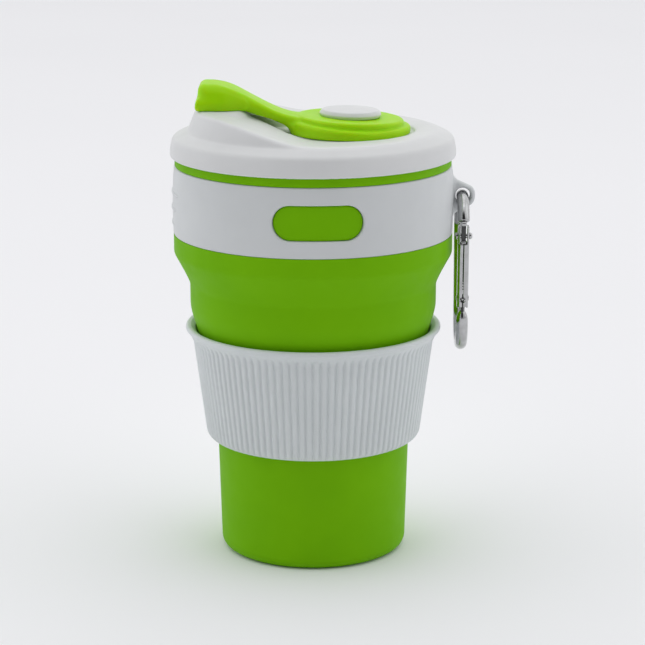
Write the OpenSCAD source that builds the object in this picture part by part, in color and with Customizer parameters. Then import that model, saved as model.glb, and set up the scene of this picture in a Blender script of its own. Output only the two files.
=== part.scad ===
// Collapsible travel cup: a silicone body of stepped tiers with two rolling folds, a plastic collar,
// a ribbed heat sleeve, a spouted lid with a strapped stopper, and a small snap hook.
// Millimetres, +Z up, origin at the centre of the foot, spout towards -X, collar window towards -Y.

/* [Cup body] */
// Outer diameter of the base tier just above its foot
base_d = 59; // [57:0.5:60]
// Height of the base tier
base_h = 38.5; // [38:0.5:39.5]
// Height of the lower fold, between the base tier and the middle tier
lower_fold_h = 14.5; // [14:0.5:15]
// Height of the middle tier
middle_h = 34; // [33.5:0.5:34.5]
// Widest outer diameter of the middle tier
middle_d = 78.1; // [77.5:0.1:78.3]
// Height of the upper fold, between the middle tier and the rim tier
upper_fold_h = 10; // [9.5:0.5:10.5]
// Outer diameter of the rim tier below the collar
rim_d = 88; // [87.5:0.1:88.2]
// Height of the rim tier, from the upper fold to the lip
rim_h = 35.8; // [35:0.1:36]
// Thickness of the tier walls
wall = 2.4; // [2.2:0.1:2.8]
// Thickness of the folds
fold_wall = 1.2; // [1:0.1:1.3]

/* [Collar] */
// Height of the collar
collar_h = 21.5; // [20.5:0.1:22]
// Length of the collar window, along the collar
window_w = 27; // [22:0.5:30]
// Height of the collar window
window_h = 10.8; // [8:0.1:12]
// Diameter of the hole in the ear
ear_hole_d = 4.9; // [4.6:0.1:5.1]

/* [Heat sleeve] */
// Number of ribs round the sleeve
rib_count = 100; // [60:4:120]
// Depth of the grooves between the ribs
rib_depth = 0.5; // [0.3:0.1:0.7]
// Wall behind the grooves
sleeve_wall = 1.3; // [1:0.1:1.5]

/* [Lid] */
// Outer diameter of the lid
lid_d = 90; // [89.5:0.1:92]
// Thickness of the lid's deck
deck_t = 2.2; // [2:0.1:2.4]
// Height of the spout above the deck
spout_rise = 6.65; // [6:0.05:7]
// Diameter of the drinking hole
drink_hole_d = 10; // [9:0.5:11]

/* [Stopper] */
// Diameter of the stopper's disc
disc_d = 37.7; // [36:0.1:38]
// Diameter of the button that holds the disc
button_d = 19.4; // [16:0.2:22]
// Width of the strap
strap_w = 13; // [10:0.5:14]
// Width of the spout cap
cap_w = 18; // [16:0.5:18.5]

/* [Snap hook] */
// Overall length of the snap hook
hook_l = 51.7; // [48:0.1:54]
// Overall width of the snap hook
hook_w = 23.8; // [22:0.1:26]
// Diameter of the snap hook's wire
wire_d = 3.8; // [3.6:0.1:4]

/* [Hidden] */
$fn = 96;
eps = 0.01;

// Colours
green = [0.42, 0.68, 0.05];
white = [0.86, 0.87, 0.88];
steel = [0.70, 0.71, 0.73];

// Heights of the cup's zones
middle_z = base_h + lower_fold_h;
upper_fold_z = middle_z + middle_h;
rim_z = upper_fold_z + upper_fold_h;
lip_z = rim_z + rim_h;

// Base tier
base_r = base_d / 2;
base_taper = 0.034;
foot_fillet = 3.4;
floor_t = 3;
base_top_r = base_r + base_taper * (base_h - foot_fillet);

// Middle tier: a cone that seats the sleeve, swelling to a plain band above it
seat_r0 = base_top_r + 3.4;
seat_taper = 0.1434;
seat_top_z = middle_z + 15;
band_z = seat_top_z + 13;
middle_r = middle_d / 2;

// Rim tier: the collar sits in a recess between the lower wall and the lip band
rim_r = rim_d / 2;
rim_inner_r = rim_r - 3.4;
collar_z = rim_z + 6.1;
collar_top_z = collar_z + collar_h;
recess_r = rim_r - 1.6;
lip_r = rim_r - 0.55;
pad_rise = 0.9;

// Collar
collar_r = rim_r + 0.28;
window_turn = 2.2;
ear_x = rim_r + 3;
ear_z = collar_top_z - 10;
ear_w = 4;
ear_rim = 1.5;
ear_r = ear_hole_d / 2 + ear_rim;
ridge_w = 0.9;
ridge_rise = 0.35;

// Sleeve: its bore is the seat cone plus a running gap
fit_gap = 0.3;
sleeve_z = base_h - 1.8;
sleeve_cone_z = sleeve_z + 3.4;
sleeve_cone_top_z = seat_top_z - 0.6;
sleeve_lip_r = base_top_r + 0.4;
sleeve_flange_z = sleeve_cone_top_z + 5.2;
sleeve_flange_r = middle_r + 1.55;
rib_pitch = 360 / rib_count;

// Lid
lid_r = lid_d / 2;
plate_z = lip_z + fit_gap;
deck_z = plate_z + deck_t + 0.3;
skirt_z = collar_top_z + 2.8;
skirt_inner_r = lip_r + fit_gap;
edge_round = 5;
edge_split = asin((plate_z - deck_z + edge_round) / edge_round);
seal_r = rim_inner_r - fit_gap;
seal_t = 1.7;
seal_h = 6;
pocket_z = deck_z - 1.1;

// Ramp that rises from the deck to the spout
ramp_run = 36;
ramp_base_r = lid_r - edge_round + 0.2;
ramp_top_r = ramp_base_r - 2.9;
spout_z = deck_z + spout_rise;
drink_x = -29.5;
seat_x0 = -36.4;
seat_x1 = -22.5;
seat_round = 5;
seat_margin = 1;
ramp_draft = 0.34;
lid_shell_t = 2.2;

// Stopper
disc_x = 11.7;
disc_r = disc_d / 2;
disc_step_z = pocket_z + 2.5;
disc_top_z = pocket_z + 5.1;
disc_fall = 0.8;
disc_upper_r = disc_r - 2.1;
pocket_r = disc_r + 1.15;
pocket_tip_x = -19;
pocket_tip_r = 1.2;
button_r = button_d / 2;
button_t = 2.4;
stem_r = 3;
strap_t = 3.3;
strap_x0 = disc_x - disc_upper_r - 0.6;
strap_x1 = -21;
strap_low_z = pocket_z + 5.7;
strap_climb = 10.2;
strap_foot_x = -4;
strap_run = 28;
cap_x0 = seat_x0 - 0.3;
cap_top_z = strap_low_z + strap_climb;
plug_r = drink_hole_d / 2 - 0.4;
plug_l = 3.4;

// Snap hook: a pear-shaped loop in the YZ plane, hanging in the ear
wire_r = wire_d / 2;
wire_lap = 0.3;
hook_x = ear_x;
hook_top_z = ear_z - 0.2;
hook_r = hook_w / 2 - wire_r;
hook_low_r = hook_r * 0.74;
hook_c_z = hook_top_z - hook_r;
hook_low_c_z = hook_top_z + wire_r - hook_l + wire_r + hook_low_r;
hook_lean = asin((hook_r - hook_low_r) / (hook_c_z - hook_low_c_z));
gate_rise = 9.2;
gate_pivot_z = hook_low_c_z + gate_rise;
gate_pivot_y = -(hook_low_r + gate_rise * sin(hook_lean)) / cos(hook_lean);
stub_l = 5.2;
neck_l = (gate_rise + hook_low_r * sin(hook_lean)) / cos(hook_lean) - stub_l;
gate_top = 23.6;
gate_tail = 3.3;
gate_w = 3.5;
gate_d = 4;
gate_t = 0.6;
gate_window = 5.6;
nose_turn = 20;
latch_up = 20.2;
latch_back = 0.55;
pin_r = 0.7;
neck_t = 1.4;
spring_r = 0.95;
spring_wire_r = 0.2;
spring_l = 9;
spring_turns = 8;
spring_z = 2.4;

// Smooth step from 0 to 1
function smooth(t) = let (u = min(max(t, 0), 1)) u * u * (3 - 2 * u);

// Points along an arc of a circle, from one angle to another
function arc(x, y, r, from, to, steps = 8) = [
    for (i = [0:steps])
        let (a = from + (to - from) * i / steps)
            [x + r * cos(a), y + r * sin(a)]
];

// Outer radius of the middle tier at a height
function seat_cone(z) = seat_r0 + seat_taper * (z - middle_z);
function middle_outer(z) =
    let (swell = smooth((z - seat_top_z) / (band_z - seat_top_z)))
        z < seat_top_z ? seat_cone(z) : seat_cone(seat_top_z) * (1 - swell) + middle_r * swell;

// Outer radius of the upper fold, by its share of the fold's height
function upper_fold_outer(t) = middle_r + (rim_r - 0.1 - middle_r) * pow(t, 1.15);

// Height of the ramp's surface above the lid's deck at x
function ramp_z(x) = deck_z + spout_rise * smooth(pow(min(max(-x / ramp_run, 0), 1), 0.85));

// Height of the top of the strap and the spout cap at x: one S from the disc up to the spout
function strap_top_z(x) = strap_low_z + strap_climb * smooth((strap_foot_x - x) / strap_run);

// Height of the strap's underside at x: the strap thickens towards the cap and towards the disc
function strap_under_z(x) =
    strap_top_z(x) - strap_t - 1.4 * smooth((-14 - x) / 8) - smooth((x + 9) / 5);

module base_tier() {
    groove_r = base_r * 0.7;
    color(green)
    rotate_extrude()
        difference() {
            polygon(concat(
                [[0, 0]],
                arc(base_r - foot_fillet, foot_fillet, foot_fillet, -90, 0),
                [[base_top_r, base_h], [base_top_r - wall, base_h]],
                [[base_r - wall, floor_t + 3]],
                arc(base_r - wall - 3, floor_t + 3, 3, 0, -90),
                [[0, floor_t]]
            ));
            translate([groove_r, 0])
                circle(r = 0.7, $fn = 24);
        }
}

module lower_fold() {
    color(green)
    rotate_extrude()
        polygon([
            [base_top_r, base_h], [seat_r0, middle_z],
            [seat_r0 - fold_wall, middle_z], [base_top_r - fold_wall, base_h]
        ]);
}

module middle_tier() {
    steps = 14;
    fold_room = 0.8;
    color(green)
    rotate_extrude()
        polygon(concat(
            [[seat_r0, middle_z]],
            [for (z = [seat_top_z:(band_z - seat_top_z) / steps:band_z + eps]) [middle_outer(z), z]],
            [[middle_r, upper_fold_z], [middle_r - wall + 0.3, upper_fold_z]],
            [[middle_r - wall, band_z - 3], [seat_cone(seat_top_z) - wall + fold_room, seat_top_z]],
            [[seat_r0 - fold_room, middle_z + 3], [seat_r0 - fold_room, middle_z]]
        ));
}

module upper_fold() {
    steps = 8;
    outer = [for (i = [0:steps]) [upper_fold_outer(i / steps), upper_fold_z + upper_fold_h * i / steps]];
    color(green)
    rotate_extrude()
        polygon(concat(outer, [for (i = [steps:-1:0]) outer[i] - [fold_wall, 0]]));
}

// Stadium outline, for the window and its pad
module stadium(w, h) {
    for (side = [-1, 1])
        translate([side * (w - h) / 2, 0])
            circle(d = h);
    square([w - h, h], center = true);
}

// The window's outline pushed radially through the collar
module window_prism(grow = 0) {
    rotate([0, 0, window_turn])
        translate([0, -rim_inner_r + 4, collar_z + collar_h / 2])
            rotate([90, 0, 0])
                linear_extrude(12)
                    stadium(window_w + 2 * grow, window_h + 2 * grow);
}

module rim_tier() {
    lip_round = 1.3;
    chamfer_h = 8;
    color(green)
    union() {
        rotate_extrude()
            polygon(concat(
                [[rim_r - 0.1, rim_z], [rim_r, rim_z + 1], [rim_r, collar_z], [recess_r, collar_z]],
                [[recess_r, collar_top_z], [lip_r, collar_top_z]],
                arc(lip_r - lip_round, lip_z - lip_round, lip_round, 0, 90),
                arc(rim_inner_r + lip_round, lip_z - lip_round, lip_round, 90, 180),
                [[rim_inner_r, rim_z + chamfer_h], [rim_r - fold_wall - 0.1, rim_z]]
            ));
        // Pad that fills the collar's window
        intersection() {
            window_prism(-0.1);
            rotate_extrude()
                translate([rim_inner_r + 1, collar_z])
                    square([recess_r + pad_rise - rim_inner_r - 1, collar_h]);
        }
    }
}

module collar_ring() {
    edge = 0.5;
    rotate_extrude()
        polygon([
            [recess_r, collar_z], [collar_r - edge, collar_z], [collar_r - 0.15, collar_z + edge],
            [collar_r, collar_z + collar_h * 0.4], [collar_r - 0.1, collar_z + collar_h * 0.7],
            [collar_r - 0.6, collar_top_z - edge], [collar_r - 0.6 - edge, collar_top_z],
            [recess_r, collar_top_z]
        ]);
}

module collar() {
    ridge_angles = [12, 15.5, 20];
    color(white)
    difference() {
        union() {
            collar_ring();
            // Ear for the snap hook
            translate([ear_x, 0, ear_z])
                rotate([90, 0, 0])
                    cylinder(r = ear_r, h = ear_w, center = true);
            translate([recess_r + 0.2, -ear_w / 2, ear_z - ear_r - 1.2])
                cube([ear_x - recess_r - 1.6, ear_w, 2 * ear_r + 3]);
            // Grip ridges on the spout side
            for (i = [0:2])
                translate([0, 0, collar_z + 3.6 + 4.9 * i])
                    rotate([0, 0, 180 - ridge_angles[i]])
                        rotate_extrude(angle = 2 * ridge_angles[i])
                            translate([collar_r - 0.35, 0])
                                circle(r = ridge_w / 2 + ridge_rise / 2, $fn = 24);
        }
        window_prism();
        translate([ear_x, 0, ear_z])
            rotate([90, 0, 0])
                cylinder(d = ear_hole_d, h = ear_w + 2, center = true);
        // The bore stays clear of the rim tier
        translate([0, 0, collar_z - eps])
            cylinder(r = recess_r, h = collar_h + 2 * eps);
    }
}

module sleeve_body() {
    inner = fit_gap;
    outer = inner + sleeve_wall + rib_depth;
    bead_r = 1.2;
    rotate_extrude()
        polygon(concat(
            [[sleeve_lip_r, sleeve_z]],
            arc(seat_cone(sleeve_cone_z) + outer - 2.6, sleeve_z + 2.6, 2.6, -90, -8),
            [[seat_cone(sleeve_cone_z) + outer, sleeve_cone_z]],
            [[seat_cone(sleeve_cone_top_z) + outer, sleeve_cone_top_z]],
            [[seat_cone(sleeve_cone_top_z) + outer + 0.9, sleeve_cone_top_z + 2.4]],
            arc(sleeve_flange_r - bead_r, sleeve_flange_z, bead_r, -50, 60),
            [[sleeve_flange_r - bead_r - 0.2, sleeve_flange_z + bead_r + 0.1]],
            [[middle_outer(sleeve_flange_z) + fit_gap + 0.9, sleeve_flange_z + bead_r]],
            [for (z = [sleeve_flange_z, sleeve_flange_z - 1.5, seat_top_z]) [middle_outer(z) + inner, z]],
            [[seat_cone(sleeve_cone_z) + inner, sleeve_cone_z]]
        ));
}

module sleeve() {
    crest_r = seat_cone(sleeve_cone_z) + fit_gap + sleeve_wall + rib_depth;
    groove_w = PI * crest_r / rib_count * 0.7;
    groove_l = (sleeve_cone_top_z - sleeve_cone_z) / cos(atan(seat_taper));
    color(white)
    difference() {
        sleeve_body();
        for (i = [0:rib_count - 1])
            rotate([0, 0, (i + 0.5) * rib_pitch])
                translate([crest_r - rib_depth, -groove_w / 2, sleeve_cone_z])
                    rotate([0, atan(seat_taper), 0])
                        cube([3 * rib_depth, groove_w, groove_l]);
    }
}

// Outline round the stopper's disc that narrows to a point under its strap
module teardrop(grow = 0) {
    big = pocket_r + grow;
    small = pocket_tip_r + grow;
    lean = asin((big - small) / (disc_x - pocket_tip_x));
    translate([disc_x, 0])
        circle(r = big);
    translate([pocket_tip_x, 0])
        circle(r = small);
    polygon([
        for (side = [1, -1]) each let (
            far = [pocket_tip_x - small * sin(lean), side * small * cos(lean)],
            near = [disc_x - big * sin(lean), side * big * cos(lean)]
        ) side > 0 ? [far, near] : [near, far]
    ]);
}

// Solid under the ramp, with its skin lowered and its flank drawn in by inset
module ramp_solid(inset, bottom) {
    steps = 12;
    half = lid_r;
    intersection() {
        translate([0, 0, bottom])
            cylinder(
                r1 = ramp_base_r - inset + (deck_z - bottom) * ramp_draft,
                r2 = ramp_top_r - inset - ramp_draft,
                h = spout_z + 1 - bottom
            );
        translate([0, half, 0])
            rotate([90, 0, 0])
                linear_extrude(2 * half)
                    polygon(concat(
                        [[-half, bottom], [-half, spout_z - inset]],
                        [for (i = [0:steps]) let (x = -ramp_run * (1 - i / steps)) [x, ramp_z(x) - inset]],
                        [[inset, bottom]]
                    ));
    }
}

module spout_seat() {
    depth = cap_w + seat_margin;
    length = seat_x1 - seat_x0 + 2 * seat_margin;
    intersection() {
        translate([0, 0, deck_z - 1])
            cylinder(r1 = ramp_base_r, r2 = ramp_top_r, h = spout_z - deck_z + 1);
        translate([(seat_x0 + seat_x1) / 2 - seat_margin, 0, deck_z])
            linear_extrude(spout_z - deck_z) {
                square([length - 2 * seat_round, depth], center = true);
                square([length, depth - 2 * seat_round], center = true);
                for (sx = [-1, 1], sy = [-1, 1])
                    translate([sx * (length / 2 - seat_round), sy * (depth / 2 - seat_round)])
                        circle(r = seat_round);
            }
    }
}

// The lid is one moulding, split where its skirt and its sealing wall leave the plate
module lid_plate() {
    rotate_extrude()
        polygon(concat(
            [[0, plate_z]],
            arc(lid_r - edge_round, deck_z - edge_round, edge_round, edge_split, 90, 6),
            [[0, deck_z]]
        ));
}

module lid_skirt() {
    skirt_t = 1.2;
    color(white)
    rotate_extrude()
        polygon(concat(
            [[skirt_inner_r, plate_z], [skirt_inner_r, skirt_z]],
            arc(lid_r - skirt_t, skirt_z + skirt_t, skirt_t, -60, 0, 4),
            arc(lid_r - edge_round, deck_z - edge_round, edge_round, 0, edge_split, 3)
        ));
}

module lid_seal() {
    color(white)
    translate([0, 0, plate_z - seal_h])
        rotate_extrude()
            translate([seal_r - seal_t, 0])
                square([seal_t, seal_h]);
}

module lid() {
    color(white)
    difference() {
        union() {
            lid_plate();
            ramp_solid(0, deck_z - 1);
            spout_seat();
        }
        // Hollow under the ramp and the spout, kept away from the stopper's pocket
        difference() {
            union() {
                ramp_solid(lid_shell_t, plate_z - 1);
                translate([0, 0, -lid_shell_t])
                    intersection() {
                        spout_seat();
                        translate([drink_x, 0, 0])
                            cylinder(r = drink_hole_d / 2 + 2, h = spout_z);
                    }
            }
            translate([0, 0, plate_z - 2])
                linear_extrude(spout_rise + 8)
                    teardrop(lid_shell_t);
        }
        // Pocket for the stopper's disc and strap
        translate([0, 0, pocket_z])
            linear_extrude(spout_rise + 2)
                teardrop();
        // Drinking hole
        translate([drink_x, 0, plate_z - 1])
            cylinder(d = drink_hole_d, h = spout_z - plate_z + 2);
        // Hole for the button's stem
        translate([disc_x, 0, plate_z - 1])
            cylinder(r = stem_r + 0.05, h = deck_z - plate_z + 2);
    }
}

module stopper_disc() {
    edge = 0.9;
    color(green)
    translate([disc_x, 0, 0])
        rotate_extrude()
            polygon(concat(
                [[stem_r + 0.05, pocket_z], [disc_r - 0.4, pocket_z]],
                arc(disc_r - edge, disc_step_z - edge, edge, 0, 80, 5),
                [[disc_upper_r + 0.3, disc_step_z]],
                arc(disc_upper_r - edge, disc_top_z - disc_fall - edge, edge, 0, 80, 5),
                [[button_r, disc_top_z], [stem_r + 0.05, disc_top_z]]
            ));
}

module strap_button() {
    edge = 0.9;
    color(white)
    translate([disc_x, 0, 0])
        rotate_extrude()
            polygon(concat(
                [[0, plate_z - 1.4], [stem_r, plate_z - 1.4]],
                [[stem_r, disc_top_z], [button_r - 0.5, disc_top_z]],
                arc(button_r - edge, disc_top_z + button_t - edge, edge, 0, 80, 5),
                [[0, disc_top_z + button_t]]
            ));
}

module stopper_strap() {
    steps = 12;
    xs = [for (i = [0:steps]) strap_x0 + (strap_x1 - strap_x0) * i / steps];
    color(green)
    difference() {
        translate([0, strap_w / 2, 0])
            rotate([90, 0, 0])
                linear_extrude(strap_w)
                    polygon(concat(
                        [for (x = xs) [x, strap_under_z(x)]],
                        [for (i = [steps:-1:0]) [xs[i], strap_top_z(xs[i])]]
                    ));
        translate([disc_x, 0, pocket_z - 1])
            cylinder(r = disc_r, h = disc_step_z - pocket_z + 1);
        translate([disc_x, 0, pocket_z])
            cylinder(r = disc_upper_r + 0.3, h = 2 * strap_t);
    }
}

module spout_cap() {
    corner = 2.6;
    steps = 8;
    crown_x = cap_x0 + 4.6;
    color(green)
    union() {
        translate([0, cap_w / 2, 0])
            rotate([90, 0, 0])
                linear_extrude(cap_w)
                    polygon(concat(
                        [[cap_x0, spout_z], [cap_x0, spout_z + 2], [cap_x0 + 0.9, cap_top_z - corner]],
                        arc(cap_x0 + 1 + corner, cap_top_z - corner, corner, 175, 90),
                        [for (x = [crown_x:(strap_x1 - crown_x) / steps:strap_x1 + eps]) [x, strap_top_z(x)]],
                        [[strap_x1, strap_under_z(strap_x1)], [strap_x1 - 1, spout_z]]
                    ));
        translate([drink_x, 0, spout_z - plug_l])
            cylinder(r = plug_r, h = plug_l + 1);
    }
}

// Wire along an arc in the YZ plane, round the X axis; angles are measured from +Y towards +Z
module wire_arc(c_z, r, from, to) {
    translate([hook_x, 0, c_z])
        rotate([90, 0, 90])
            rotate([0, 0, from])
                rotate_extrude(angle = to - from)
                    translate([r, 0])
                        circle(r = wire_r, $fn = 48);
}

// Straight wire on the tangent of the two bends, on the back (side 1) or the front (side -1).
// It is a hair thinner than the bends and runs into them, so that they join cleanly.
module wire_line(side, from, to) {
    translate([hook_x, side * hook_low_r * cos(hook_lean), hook_low_c_z - hook_low_r * sin(hook_lean)])
        rotate([-side * hook_lean, 0, 0])
            translate([0, 0, from - wire_lap])
                cylinder(r = wire_r - 0.02, h = to - from + 2 * wire_lap, $fn = 48);
}

module hook_body() {
    side_l = (hook_c_z - hook_low_c_z) * cos(hook_lean);
    tongue_w = 1.3;
    tongue_y = -gate_d * 0.34;
    tongue_z = latch_up - 2.1;
    color(steel)
    union() {
        wire_arc(hook_c_z, hook_r, -hook_lean, 180 - nose_turn);
        wire_line(1, 0, side_l);
        wire_arc(hook_low_c_z, hook_low_r, 180 + hook_lean, 360 - hook_lean);
        wire_line(-1, 0, stub_l);
        // Flat neck inside the gate's fork, bored for the pivot pin
        gate_frame()
            difference() {
                translate([-neck_t / 2, -gate_d * 0.36, -neck_l])
                    cube([neck_t, gate_d * 0.72, neck_l + 1.6]);
                rotate([0, 90, 0])
                    cylinder(r = pin_r + 0.05, h = neck_t + 1, center = true, $fn = 32);
            }
        // Tongue and foot that the latch pin hooks behind
        gate_frame() {
            translate([-tongue_w / 2, tongue_y, tongue_z])
                cube([tongue_w, 0.9, gate_top - tongue_z + 1.9]);
            translate([-tongue_w / 2 - 0.2, tongue_y, tongue_z])
                cube([tongue_w + 0.4, 1.9, 1.1]);
        }
    }
}

// Gate coordinates: origin on the pivot pin, +Z along the closed gate, +Y towards the back
module gate_frame() {
    translate([hook_x, gate_pivot_y, gate_pivot_z])
        rotate([hook_lean, 0, 0])
            children();
}

module hook_gate() {
    inner_w = gate_w - 2 * gate_t;
    color(steel)
    gate_frame()
        difference() {
            translate([0, 0, -gate_tail])
                linear_extrude(gate_top + gate_tail)
                    difference() {
                        union() {
                            square([gate_w, gate_d - 2], center = true);
                            square([gate_w - 2, gate_d], center = true);
                            for (sx = [-1, 1], sy = [-1, 1])
                                translate([sx * (gate_w / 2 - 1), sy * (gate_d / 2 - 1)])
                                    circle(r = 1, $fn = 24);
                        }
                        square([inner_w, gate_d - 2 * gate_t], center = true);
                    }
            // Open back, and windows in the front at both ends
            translate([-inner_w / 2, 0, -gate_tail - 1])
                cube([inner_w, gate_d, gate_window + gate_tail - 1]);
            translate([-inner_w / 2, -gate_d, -gate_tail - 1])
                cube([inner_w, gate_d, gate_window + 1]);
            translate([-inner_w / 2, -gate_d, gate_top - gate_window])
                cube([inner_w, 2 * gate_d, gate_window + 1]);
            for (up = [0, latch_up])
                translate([0, up == 0 ? 0 : latch_back, up])
                    rotate([0, 90, 0])
                        cylinder(r = pin_r, h = gate_w + 2, center = true, $fn = 32);
        }
}

module hook_pivot_pin() {
    color(steel)
    gate_frame()
        rotate([0, 90, 0])
            cylinder(r = pin_r, h = gate_w + 0.4, center = true, $fn = 32);
}

module hook_latch_pin() {
    head_l = 1.1;
    color(steel)
    gate_frame()
        translate([0, latch_back, latch_up])
            rotate([0, 90, 0]) {
                cylinder(r = pin_r, h = gate_w + 2 * head_l, center = true, $fn = 32);
                for (side = [-1, 1])
                    translate([0, 0, side * (gate_w / 2 + head_l / 2)])
                        cylinder(r = pin_r + 0.35, h = head_l, center = true, $fn = 32);
            }
}

// Return spring: a close stack of coils inside the gate, above the neck
module hook_spring() {
    pitch = spring_l / spring_turns;
    color(steel)
    gate_frame()
        for (i = [0:spring_turns - 1])
            translate([0, 0, spring_z + i * pitch])
                rotate_extrude()
                    translate([spring_r - spring_wire_r, 0])
                        circle(r = spring_wire_r, $fn = 16);
}

base_tier();
lower_fold();
middle_tier();
upper_fold();
rim_tier();
collar();
sleeve();
lid();
lid_skirt();
lid_seal();
stopper_disc();
stopper_strap();
spout_cap();
strap_button();
hook_body();
hook_gate();
hook_pivot_pin();
hook_latch_pin();
hook_spring();
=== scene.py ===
"""Looks of a folding silicone travel cup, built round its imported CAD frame.

Shapes are worked out in millimetres in the row frame, and scaled to metres when their mesh is made.
The spout points to -X, the collar's window to -Y and the snap hook to +X.
"""

import math

import bmesh
import bpy
import numpy as np
from mathutils import Matrix, Vector


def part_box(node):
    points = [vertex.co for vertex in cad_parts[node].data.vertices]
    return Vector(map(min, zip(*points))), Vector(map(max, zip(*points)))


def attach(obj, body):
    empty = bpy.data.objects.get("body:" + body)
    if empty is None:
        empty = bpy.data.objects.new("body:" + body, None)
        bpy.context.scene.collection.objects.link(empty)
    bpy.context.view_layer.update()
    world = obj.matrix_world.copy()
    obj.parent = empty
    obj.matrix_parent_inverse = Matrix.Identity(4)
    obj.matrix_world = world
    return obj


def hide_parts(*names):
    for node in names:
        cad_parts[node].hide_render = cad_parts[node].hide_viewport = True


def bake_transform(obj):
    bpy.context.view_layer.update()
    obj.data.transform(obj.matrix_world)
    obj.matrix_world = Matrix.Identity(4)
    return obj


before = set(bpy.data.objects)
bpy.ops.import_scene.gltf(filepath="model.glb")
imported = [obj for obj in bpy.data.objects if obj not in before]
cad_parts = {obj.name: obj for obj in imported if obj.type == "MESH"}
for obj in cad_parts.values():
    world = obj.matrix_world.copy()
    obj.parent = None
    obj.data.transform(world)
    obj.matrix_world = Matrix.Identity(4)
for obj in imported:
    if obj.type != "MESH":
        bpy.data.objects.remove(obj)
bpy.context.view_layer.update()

MM = 0.001
UP = np.array([0.0, 0.0, 1.0])


# ---------------------------------------------------------------- sizes, read off the CAD frame


def box_mm(node):
    """Lowest and highest corner of a CAD node, in millimetres."""
    low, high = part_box(node)
    return np.array(low) / MM, np.array(high) / MM


_, base_high = box_mm("base_tier")
middle_low, middle_high = box_mm("middle_tier")
rim_low, rim_high = box_mm("rim_tier")
collar_low, collar_high = box_mm("collar")
sleeve_low, sleeve_high = box_mm("sleeve")
lid_low, lid_high = box_mm("lid")
skirt_low, skirt_high = box_mm("lid_skirt")
disc_low, disc_high = box_mm("stopper_disc")
cap_low, cap_high = box_mm("spout_cap")
button_low, button_high = box_mm("strap_button")
hook_low, hook_high = box_mm("hook_body")
pivot_low, pivot_high = box_mm("hook_pivot_pin")

# Cup body
BASE_H = base_high[2]
BASE_TOP_R = base_high[0]
BASE_R = BASE_TOP_R - 1.1
FOOT_ROUND = 3.4
MIDDLE_Z = middle_low[2]
FOLD_Z = middle_high[2]
MIDDLE_R = middle_high[0]
RIM_Z = rim_low[2]
LIP_Z = rim_high[2]
RIM_R = rim_high[0]
RIM_INNER_R = RIM_R - 3.4
LIP_R = RIM_R - 0.55
RECESS_R = RIM_R - 1.6
LIP_ROUND = 1.3
WALL = 2.4
FOLD_WALL = 1.2
FLOOR_T = 3
SEAT_R = BASE_TOP_R + 3.4
SEAT_TAPER = 0.1434
SEAT_TOP_Z = MIDDLE_Z + 15
BAND_Z = SEAT_TOP_Z + 13

# Collar
COLLAR_Z = collar_low[2]
COLLAR_TOP_Z = collar_high[2]
COLLAR_R = -collar_low[1]
WINDOW_W = 27.8
WINDOW_H = 10.8
WINDOW_TURN = 2.2
WINDOW_Z = (COLLAR_Z + COLLAR_TOP_Z) / 2
EAR_R = 3.95
EAR_HOLE_R = 2.45
EAR_X = collar_high[0] - EAR_R
EAR_Z = COLLAR_TOP_Z - 10
EAR_W = 4.0

# Heat sleeve
SLEEVE_Z = sleeve_low[2]
FLANGE_R = sleeve_high[0]
SLEEVE_TOP_Z = sleeve_high[2]
RIB_COUNT = 100
RIB_DEPTH = 0.5
SLEEVE_WALL = 1.3
FIT_GAP = 0.3

# Lid
LID_R = skirt_high[0]
SKIRT_Z = skirt_low[2]
SPOUT_Z = lid_high[2]
PLATE_Z = lid_low[2]
DECK_Z = PLATE_Z + 2.5
RAMP_RISE = SPOUT_Z - DECK_Z
RAMP_RUN = 36.0
RAMP_R = LID_R - 5.8
DRINK_X = -29.5
DRINK_R = 5.0
SHELL = 2.5
DISH = 1.2

# Stopper
POCKET_Z = disc_low[2]
DISC_TOP_Z = disc_high[2]
DISC_X = (button_low[0] + button_high[0]) / 2
DISC_R = (disc_high[0] - disc_low[0]) / 2
DISC_STEP_Z = POCKET_Z + 2.5
DISC_TILT = 0.051
STEP_TILT = 0.085
BUTTON_TILT = 0.025
POCKET_GAP = 1.15
POCKET_TIP_X = -19.0
POCKET_TIP_R = 1.2
STEM_R = 3.0
DISC_UPPER_R = DISC_R - 2.1
BUTTON_R = (button_high[0] - button_low[0]) / 2
BUTTON_TOP_Z = button_high[2]
CAP_X = cap_low[0]
CAP_TOP_Z = cap_high[2]
CAP_W = cap_high[1] - cap_low[1]
STRAP_W = 13.0
STRAP_T = 3.3
STRAP_FOOT_X = -4.0
STRAP_RUN = 28.0
STRAP_LOW_Z = POCKET_Z + 5.7

# Snap hook
WIRE_R = 1.9
HOOK_X = EAR_X
HOOK_R = (hook_high[1] - hook_low[1]) / 2 - WIRE_R
HOOK_LOW_R = HOOK_R * 0.74
HOOK_C_Z = hook_high[2] - WIRE_R - HOOK_R
HOOK_LOW_C_Z = hook_low[2] + WIRE_R + HOOK_LOW_R
HOOK_LEAN = math.asin((HOOK_R - HOOK_LOW_R) / (HOOK_C_Z - HOOK_LOW_C_Z))
GATE_Y = (pivot_low[1] + pivot_high[1]) / 2
GATE_Z = (pivot_low[2] + pivot_high[2]) / 2
GATE_W = 3.5
GATE_D = 4.0
GATE_T = 0.6
GATE_TOP = 23.6
GATE_TAIL = 3.3
LATCH_UP = 20.2
PIN_R = 0.7


# ---------------------------------------------------------------- outlines and meshes


def smooth(t):
    """Smooth step from 0 to 1."""
    u = np.clip(t, 0.0, 1.0)
    return u * u * (3 - 2 * u)


def mix(a, b, t):
    """Value between a and b, by its share t of the way."""
    return a + (b - a) * t


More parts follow.
